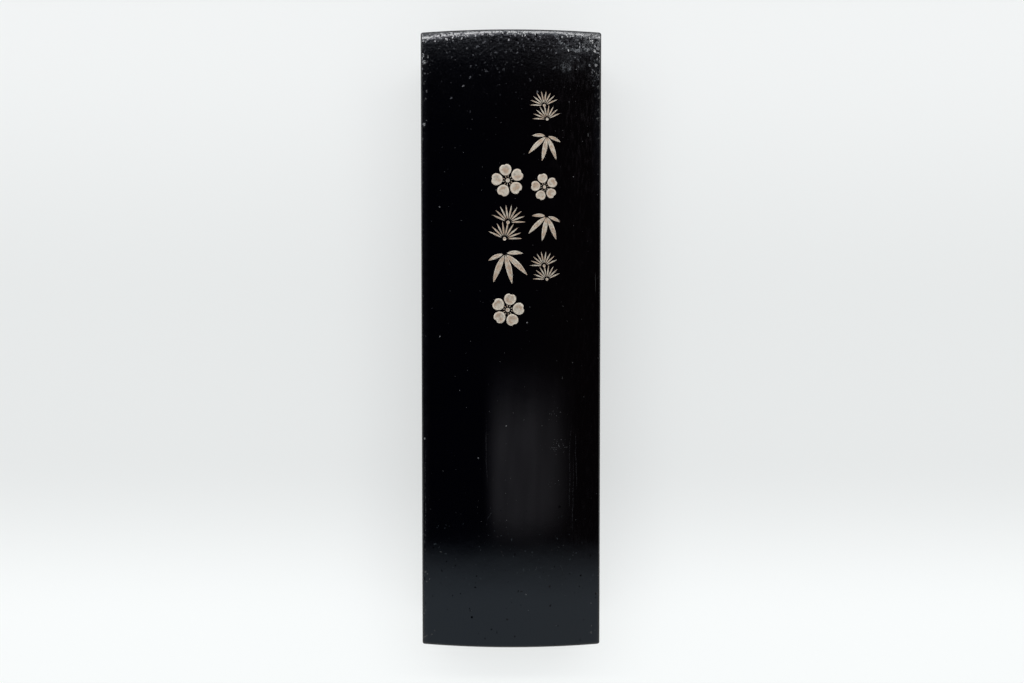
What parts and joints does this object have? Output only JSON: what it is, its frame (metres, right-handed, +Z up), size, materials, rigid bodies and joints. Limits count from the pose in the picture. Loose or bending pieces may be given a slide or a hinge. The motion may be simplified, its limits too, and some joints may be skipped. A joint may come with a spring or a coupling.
{
  "type": "poem card box",
  "caption": "Long black-lacquered wooden box for poem cards, with an arched lift-off lid that fits over a raised inner lip and gold plant motifs on the lid.",
  "frame": {"origin": "middle of the underside, on the table", "axes": "+Z up, out of the lid; +Y along the box towards its head end; +X across the box, to the right with the head end away"},
  "size_m": [0.114, 0.39, 0.0613],
  "materials": {
    "outer_lacquer": "polished black lacquer, lightly worn",
    "inner_lacquer": "satin black lacquer",
    "bamboo_peg": "split bamboo, uncoated",
    "pale_gold": "pale gold powder in low relief, satin"
  },
  "bodies": {
    "body": {"base_board": "inner_lacquer", "body_left_wall": "outer_lacquer", "body_right_wall": "outer_lacquer", "body_head_wall": "outer_lacquer", "body_foot_wall": "outer_lacquer", "lip_left_board": "inner_lacquer", "lip_right_board": "inner_lacquer", "lip_head_board": "inner_lacquer", "lip_foot_board": "inner_lacquer", "body_corner_pegs": "bamboo_peg", "base_pegs": "bamboo_peg"},
    "lid": {"lid_top_board": "outer_lacquer", "lid_left_wall": "outer_lacquer", "lid_right_wall": "outer_lacquer", "lid_head_wall": "outer_lacquer", "lid_foot_wall": "outer_lacquer", "lid_corner_pegs": "bamboo_peg", "lid_top_pegs": "bamboo_peg", "gold_plum_blossoms": "pale_gold", "gold_bamboo_leaves": "pale_gold", "gold_pine_needles": "pale_gold"}
  },
  "joints": [
    {"name": "lid_lift", "type": "slide", "parent": "body", "child": "lid", "axis": [0, 0, 1], "range_m": [0, 0.08]}
  ]
}
